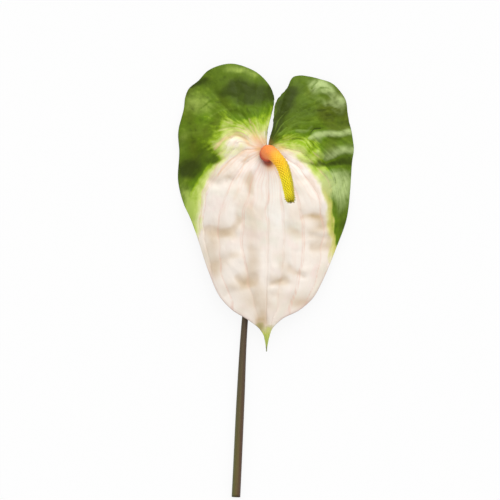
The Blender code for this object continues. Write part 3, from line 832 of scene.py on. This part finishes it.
class Nodes:
    """A node tree under construction."""

    def __init__(self, tree):
        self.nodes = tree.nodes
        self.links = tree.links

    def put(self, value, socket):
        """Link a node's output to a socket, or set the socket to a constant."""
        if isinstance(value, bpy.types.NodeSocket):
            self.links.new(value, socket)
        else:
            socket.default_value = value

    def feed(self, node, **values):
        """Feed a node's inputs, each named as in Blender, with _ for a space."""
        for name, value in values.items():
            self.put(value, node.inputs[name.replace("_", " ")])
        return node

    def add(self, kind, *values, **settings):
        """Add a node of the kind, set it up and feed its first inputs in order."""
        node = self.nodes.new("ShaderNode" + kind)
        for name, setting in settings.items():
            setattr(node, name, setting)
        for socket, value in zip(node.inputs, values):
            self.put(value, socket)
        return node

    def field(self, name):
        return self.add("Attribute", attribute_name=name).outputs["Fac"]

    def math(self, operation, first, second=0.0, clamp=False):
        return self.add("Math", first, second, operation=operation, use_clamp=clamp).outputs[0]

    def times(self, first, second, clamp=False):
        return self.math("MULTIPLY", first, second, clamp)

    def plus(self, first, second):
        return self.math("ADD", first, second)

    def ease(self, value, low, high, start=0.0, end=1.0):
        """Rise or fall smoothly from start at low to end at high."""
        ease = self.add("MapRange", value, low, high, start, end, interpolation_type="SMOOTHSTEP")
        return ease.outputs[0]

    def ramp(self, value, stops):
        node = self.add("ValToRGB", value)
        elements = node.color_ramp.elements
        while len(elements) < len(stops):
            elements.new(0.5)
        for element, (place, shade) in zip(elements, stops):
            element.position = place
            element.color = shade
        return node.outputs[0]

    def mix(self, factor, first, second):
        node = self.feed(self.add("Mix", data_type="RGBA"), Factor=factor)
        self.put(first, node.inputs[6])
        self.put(second, node.inputs[7])
        return node.outputs[2]

    def place(self):
        return self.add("TexCoord").outputs["Object"]

    def stretched(self, first, first_scale, second, second_scale, layer=0.0):
        """A place for noise that follows two fields, each at its own scale."""
        first, second = self.times(first, first_scale), self.times(second, second_scale)
        return self.add("CombineXYZ", first, second, layer).outputs[0]

    def noise(self, place, scale, detail=3.0):
        """Noise about 0, between -0.5 and 0.5."""
        node = self.add("TexNoise")
        self.feed(node, Vector=place, Scale=scale, Detail=detail, Roughness=NOISE_ROUGHNESS)
        return self.math("SUBTRACT", node.outputs["Fac"], 0.5)

    def glow_where_seen(self, surface, glow, output, direct):
        """Mix a surface with a white glow that lights nothing.

        Rays from the camera see the given share of it, mirrored rays a lower one.
        """
        path = self.add("LightPath")
        rays = (("Camera", direct), ("Glossy", MIRRORED_GLOW), ("Transmission", MIRRORED_GLOW))
        seen = [self.times(path.outputs[f"Is {name} Ray"], most) for name, most in rays]
        factor = self.math("MAXIMUM", self.math("MAXIMUM", seen[0], seen[1]), seen[2])
        glow = self.feed(self.add(glow), Color=WHITE, Strength=1.0)
        mixed = self.add("MixShader", factor, surface.outputs[0], glow.outputs[0])
        self.put(mixed.outputs[0], self.nodes[output].inputs["Surface"])


class Finish(Nodes):
    """A material under construction: a Principled shader and the nodes that feed it."""

    def __init__(self, name):
        self.material = bpy.data.materials.new(name)
        self.material.use_nodes = True
        super().__init__(self.material.node_tree)
        self.shader = self.nodes["Principled BSDF"]
        self.shade = WHITE

    def tint(self, tint, *shares):
        """Turn the shade towards the tint by the product of the shares."""
        factor = shares[0]
        for share in shares[1:]:
            factor = self.times(factor, share)
        self.shade = self.mix(factor, self.shade, tint)

    def finish(self, roughness, specular, height, distance):
        """Give the shader its shade, roughness, specular level and bump."""
        bump = self.feed(self.add("Bump"), Height=height, Distance=distance).outputs[0]
        self.feed(self.shader, Base_Color=self.shade, Roughness=roughness, Normal=bump)
        self.feed(self.shader, Specular_IOR_Level=specular)
        return self.material


NOISE_ROUGHNESS = 0.55

CREAM = colour(249, 239, 228)
BRIGHT_CREAM = colour(255, 251, 244)
ROSE = colour(250, 228, 220)
ROSY_TAN = colour(238, 206, 184)
GREY_GREEN = colour(222, 222, 200)
TAN = colour(216, 192, 162)
# The cream's peach, also used as painted shadow.
PEACH_AND_SHADOW = colour(206, 182, 148)
SEAT_RED = colour(158, 56, 34)
PINK_VEIN = colour(230, 184, 164)
ARCH_PINK = colour(232, 194, 150)
# Amber of the seat, also used as painted reflection of the spadix.
AMBER_AND_REFLECTION = colour(244, 192, 118)
PALE_YELLOW = colour(240, 236, 196)
PALE_LIME = colour(212, 224, 130)
LIME = colour(152, 184, 34)
MID_GREEN = colour(98, 132, 10)
GREEN = colour(92, 120, 14)
DEEP_GREEN = colour(88, 112, 20)
OLIVE = colour(84, 86, 12)
# Painted sheen of the lobes, on the left and on the right.
SHEEN_LEFT = colour(176, 198, 92)
SHEEN_RIGHT = colour(178, 196, 128)
DARK_GREEN = colour(46, 57, 3)
LEAF_VEIN = colour(140, 172, 60)
LEAF_GRAIN = colour(150, 174, 56)
OLIVE_TIP = colour(150, 138, 80)
BUFF = colour(214, 192, 118)
RIM_ROSE = colour(206, 176, 168)
UNDER_GREEN = colour(206, 206, 168)
YELLOW_SHADED = colour(166, 154, 12)
# Painted shade between the florets: amber low down, olive higher up.
GAP_SHADE_AMBER = colour(186, 132, 4)
GAP_SHADE_OLIVE = colour(146, 126, 6)
STIGMA_OLIVE = colour(150, 124, 8)
STEM_BROWN = colour(76, 60, 44)
STEM_FLECK = colour(140, 128, 88)
NECK_TAN = colour(206, 150, 104)

# Shades in order: of the spathe from cream to green, of its tip downwards, of the spadix from its
# seat to its end, of the stem from one side to the other, and of its cut face from the middle out.
SPATHE_SHADES = [
    (0.24, CREAM), (0.31, PALE_YELLOW), (0.41, PALE_LIME), (0.53, LIME), (0.59, MID_GREEN),
    (0.7, GREEN), (0.9, DEEP_GREEN),
]
TIP_SHADES = [
    (0.0, CREAM), (0.14, colour(194, 182, 134)), (0.27, colour(197, 194, 130)),
    (0.45, colour(195, 202, 106)), (0.63, colour(180, 194, 94)), (0.88, colour(166, 178, 98)),
    (1.0, colour(136, 146, 90)),
]
# The spadix's darkest red at its foot is partly painted shade.
SPADIX_SHADES = [
    (0.0, colour(120, 26, 12)), (0.09, colour(206, 70, 34)), (0.16, colour(246, 134, 66)),
    (0.26, colour(250, 148, 68)), (0.36, colour(252, 176, 50)), (0.48, colour(255, 204, 34)),
    (0.7, colour(255, 236, 34)), (0.88, colour(255, 240, 30)), (0.95, colour(218, 204, 20)),
    (0.98, colour(170, 160, 16)), (1.0, colour(84, 84, 8)),
]
STEM_SHADES = [
    (0.0, colour(92, 94, 50)), (0.45, colour(96, 84, 36)), (0.75, colour(88, 66, 40)),
    (1.0, colour(78, 52, 40)),
]
CUT_SHADES = [
    (0.0, colour(206, 200, 150)), (0.6, colour(190, 192, 130)), (0.85, colour(140, 146, 84)),
    (1.0, colour(92, 84, 50)),
]


def spathe_finish():
    """Leathery: cream with pink veins, a streaked lime band, satin green lobes, an olive tip, with
    painted sheen and shade on the lobes and painted shadow in the cream's creases.
    """
    f = Finish("spathe_finish")
    place = f.place()
    vein_place, radius, reach = f.field("vein_place"), f.field("radius"), f.field("reach")
    streaks = f.noise(f.stretched(vein_place, 2.6, radius, 0.09), 1.0, 4.0)
    blotches = f.noise(place, 110.0, 4.0)
    green = f.plus(f.plus(f.field("green"), f.times(streaks, 0.8)), f.times(blotches, 1.15))
    scaled = f.math("DIVIDE", f.plus(green, -GREEN_LOW), GREEN_HIGH - GREEN_LOW)
    f.shade = f.ramp(scaled, SPATHE_SHADES)
    in_cream = f.ease(green, -0.1, 0.4, 1.0, 0.0)
    in_green = f.ease(green, 0.6, 1.3)

    bands = f.noise(f.stretched(vein_place, 2.1, radius, 0.03, 7.0), 1.0, 3.0)
    near_knot = f.times(f.ease(radius, 12.0, 62.0, 0.75, 0.15), in_cream)
    f.tint(ROSY_TAN, f.ease(bands, 0.0, 0.2), near_knot)
    f.tint(BRIGHT_CREAM, f.ease(bands, -0.25, -0.05, 1.0, 0.0), near_knot)
    for scale, share, tint in ((38.0, 0.3, TAN), (55.0, 0.6, ROSE), (47.0, 0.4, GREY_GREEN)):
        patch = f.ease(f.noise(place, scale, 2.0), 0.0, 0.22)
        f.tint(tint, patch, share, in_cream)
    f.tint(OLIVE, f.ease(f.noise(place, 30.0, 2.0), 0.02, 0.2), 0.5, in_green)

    grain = f.noise(f.stretched(vein_place, 5.0, radius, 0.1, 3.0), 1.0, 2.0)
    mottle = f.plus(grain, f.noise(place, 240.0, 3.0))
    f.tint(LEAF_GRAIN, f.ease(mottle, 0.0, 0.4, 0.0, 0.25), in_green)
    f.tint(DARK_GREEN, f.ease(mottle, -0.4, 0.0, 0.5, 0.0), in_green)
    patchy = f.plus(f.plus(mottle, f.noise(place, 160.0, 4.0)), 1.0)
    # Painted sheen (above 0) and painted shade (below 0) over the lobes.
    sheen_and_shade = f.times(f.field("sheen_and_shade"), patchy)
    off_cream = f.math("SUBTRACT", 1.0, in_cream)
    pale = f.mix(f.ease(vein_place, 14.0, 18.0), SHEEN_LEFT, SHEEN_RIGHT)
    f.tint(pale, f.ease(sheen_and_shade, 0.0, 1.6), f.times(off_cream, 0.95))
    f.tint(DARK_GREEN, f.ease(sheen_and_shade, -0.9, -0.05, 0.85, 0.0), off_cream)
    # Painted shade: the cream turns tan in its creases.
    f.tint(TAN, f.ease(f.field("crease_shade"), 0.1, 0.8, 0.0, 0.5), in_cream)
    # Partly the cream's own tan and peach, partly painted shadow; below 0, painted light.
    tan_shadow_and_light = f.times(f.field("tan_shadow_and_light"), f.plus(f.times(blotches, 1.4), 1.0))
    f.tint(PEACH_AND_SHADOW, f.times(tan_shadow_and_light, 0.64, True), in_cream)
    f.tint(BRIGHT_CREAM, f.ease(tan_shadow_and_light, -0.8, 0.0, 1.0, 0.0), in_cream)

    fraction = f.math("FRACT", f.times(vein_place, 5.0))
    fine = f.ease(f.math("ABSOLUTE", f.math("SUBTRACT", fraction, 0.5)), 0.05, 0.25, 1.0, 0.0)
    fine = f.times(fine, f.ease(radius, 8.0, 45.0, 0.25, 0.03))
    fine = f.times(fine, f.ease(f.noise(place, 60.0), -0.2, 0.2, 0.2, 1.0))
    broken = f.ease(f.noise(place, 90.0), -0.25, 0.2, 0.15, 0.6)
    vein = f.math("MAXIMUM", f.times(f.field("vein"), broken), fine)
    vein = f.times(vein, f.ease(f.field("down"), 20.0, 60.0, 1.0, 0.4))
    off_leaf = f.ease(green, 0.5, 1.0, 1.0, 0.0)
    on_leaf = f.math("SUBTRACT", 1.0, off_leaf)
    arching = f.ease(f.field("arching"), 0.0, 1.0, 0.0, 0.75)
    f.tint(PINK_VEIN, vein, off_leaf)
    f.tint(LEAF_VEIN, vein, f.ease(radius, 10.0, 30.0, 1.0, 0.06), on_leaf)
    f.tint(ARCH_PINK, arching, f.ease(green, 0.7, 1.2, 1.0, 0.0))
    # Amber round the seat: partly its own tint, partly painted reflection and shadow of the spadix.
    f.tint(AMBER_AND_REFLECTION, f.ease(f.field("amber_and_reflection"), 0.0, 1.0, 0.0, 0.9))
    # Painted shadow of the spadix on the blade, reddened.
    f.tint(SEAT_RED, f.ease(f.field("seat_shade"), 0.1, 1.2, 0.0, 0.85))

    down = f.plus(f.field("down"), f.times(f.noise(place, 320.0, 3.0), 9.0))
    tip = f.ramp(f.ease(down, 104.0, 127.0), TIP_SHADES)
    f.tint(tip, f.ease(down, 106.0, 113.0))
    f.tint(OLIVE_TIP, f.ease(f.field("olive_side"), 0.2, 1.0, 0.0, 0.7))
    border = f.times(f.ease(green, -0.2, 0.6), f.ease(green, 0.6, 1.2, 1.0, 0.0))
    f.tint(BUFF, border, f.times(f.field("lower_right"), 0.6))
    off_tip = f.ease(f.field("down"), 106.0, 110.0, 0.4, 0.0)
    f.tint(RIM_ROSE, f.ease(reach, 0.975, 1.0), off_tip, in_cream)
    f.tint(UNDER_GREEN, f.field("under"), 0.35)
    roughness = f.plus(f.times(blotches, 0.15), f.ease(green, 0.2, 1.2, 0.55, 0.42))
    height = f.plus(f.noise(place, 1400.0, 2.0), f.times(streaks, 1.5))
    return f.finish(roughness, specular=0.12, height=height, distance=0.00006)


def spadix_finish():
    """Waxy: red-orange at the seat, amber, then yellow florets with olive stigmas and end; painted
    shade at the foot, between the florets and down one side.
    """
    f = Finish("spadix_finish")
    place = f.place()
    along_it = f.plus(f.field("along"), f.times(f.noise(place, 250.0), 0.05))
    f.shade = f.ramp(along_it, SPADIX_SHADES)
    # Painted shade down the spadix's right side.
    side = f.ease(f.field("side"), 0.3, 0.95)
    f.tint(YELLOW_SHADED, side, f.ease(along_it, 0.2, 0.6, 0.2, 0.8))
    # Painted shade in the gaps between the florets.
    gap = f.ease(f.field("floret"), 0.0, 0.55, 1.0, 0.0)
    gap_shade = f.mix(f.ease(along_it, 0.45, 0.75), GAP_SHADE_AMBER, GAP_SHADE_OLIVE)
    f.tint(gap_shade, gap, f.ease(along_it, 0.35, 0.7, 0.3, 0.7))
    f.tint(STIGMA_OLIVE, f.field("stigma"), f.ease(along_it, 0.5, 1.0, 0.1, 0.6))
    return f.finish(0.42, specular=0.3, height=f.noise(place, 2200.0, 2.0), distance=0.00004)


def stem_finish():
    """Satin: olive and brown, streaked along, dark under the flower, pale where cut."""
    f = Finish("stem_finish")
    arc, turn, cut = f.field("arc"), f.field("turn"), f.field("cut")
    streaks = f.noise(f.stretched(turn, 4.0, arc, 0.03), 1.0, 4.0)
    patches = f.noise(f.stretched(turn, 0.8, arc, 0.04, 4.0), 1.0, 2.0)
    fleck = f.noise(f.stretched(turn, 9.0, arc, 0.5, 9.0), 1.0, 2.0)
    around = f.plus(f.field("around"), f.times(streaks, 1.2))
    f.shade = f.ramp(f.ease(around, -1.2, 1.2), STEM_SHADES)
    dark = f.ease(f.plus(arc, f.times(patches, 60.0)), 20.0, 110.0, 0.1, 0.85)
    f.tint(STEM_BROWN, dark)
    f.tint(STEM_FLECK, f.ease(fleck, 0.16, 0.24, 0.0, 0.5))
    f.tint(NECK_TAN, f.ease(f.field("top"), 0.965, 0.985))
    f.tint(f.ramp(cut, CUT_SHADES), f.ease(cut, 1.0, 1.6, 1.0, 0.0))
    roughness = f.plus(f.times(streaks, 0.2), 0.42)
    return f.finish(roughness, specular=0.3, height=streaks, distance=0.00012)


# ---- the stage

FRAME_WIDTH = 312.5
CAMERA_DISTANCE = 1800.0
SENSOR = 36.0
PICTURE_PLANE = 14.0
PICTURE_CENTRE = (-11.25, -62.5)
WHITE = (1.0, 1.0, 1.0, 1.0)
FLOOR_WHITE = (0.84, 0.84, 0.84, 1.0)
FLOOR_GLOW = 0.88
MIRRORED_GLOW = 0.5
SKY_STRENGTH = 0.48

# Each sun's name, the direction that it shines from, its strength and its spread in degrees.
SUNS = [("key", (0.02, 0.46, 0.88), 1.5, 110.0), ("accent", (0.25, 0.83, 0.50), 1.1, 60.0)]


def make_floor():
    """A white floor, lit evenly enough to read as a backdrop and still keep the flower's shadow."""
    bpy.ops.mesh.primitive_plane_add(size=4.0, location=(0.0, 0.0, 0.0))
    floor = bpy.context.object
    floor.name = "floor"
    f = Finish("floor_finish")
    f.feed(f.shader, Base_Color=FLOOR_WHITE, Roughness=0.9)
    f.glow_where_seen(f.shader, "Emission", "Material Output", FLOOR_GLOW)
    floor.data.materials.append(f.material)


def make_world():
    """Plain white surroundings: a soft level of light, and white where they are seen."""
    world = bpy.data.worlds.new("surroundings")
    bpy.context.scene.world = world
    world.use_nodes = True
    tree = Nodes(world.node_tree)
    sky = tree.feed(tree.nodes["Background"], Color=WHITE, Strength=SKY_STRENGTH)
    tree.glow_where_seen(sky, "Background", "World Output", 1.0)


def make_sun(name, towards, strength, spread):
    """A soft lamp that shines from the given direction."""
    lamp = bpy.data.lights.new(name, "SUN")
    lamp.energy = strength
    lamp.angle = math.radians(spread)
    sun = new_object(name, lamp)
    sun.rotation_mode = "QUATERNION"
    sun.rotation_quaternion = Vector(towards).to_track_quat("Z", "Y")


def make_camera():
    """Straight above the flower, with a long lens, its lobes at the top of the picture."""
    data = bpy.data.cameras.new("camera")
    data.sensor_width = SENSOR
    data.lens = SENSOR * (CAMERA_DISTANCE - PICTURE_PLANE) / FRAME_WIDTH
    data.clip_end = 10.0
    camera = new_object("camera", data)
    x, y = KNOT[:2] + PICTURE_CENTRE
    camera.location = Vector((x, y, CAMERA_DISTANCE)) * MM
    bpy.context.scene.camera = camera


def main():
    make_camera()
    make_world()
    for sun in SUNS:
        make_sun(*sun)
    make_floor()
    make_spathe(spathe_finish())
    make_spadix(spadix_finish())
    make_stem(stem_finish())
    bpy.context.scene.view_settings.view_transform = "Standard"


main()
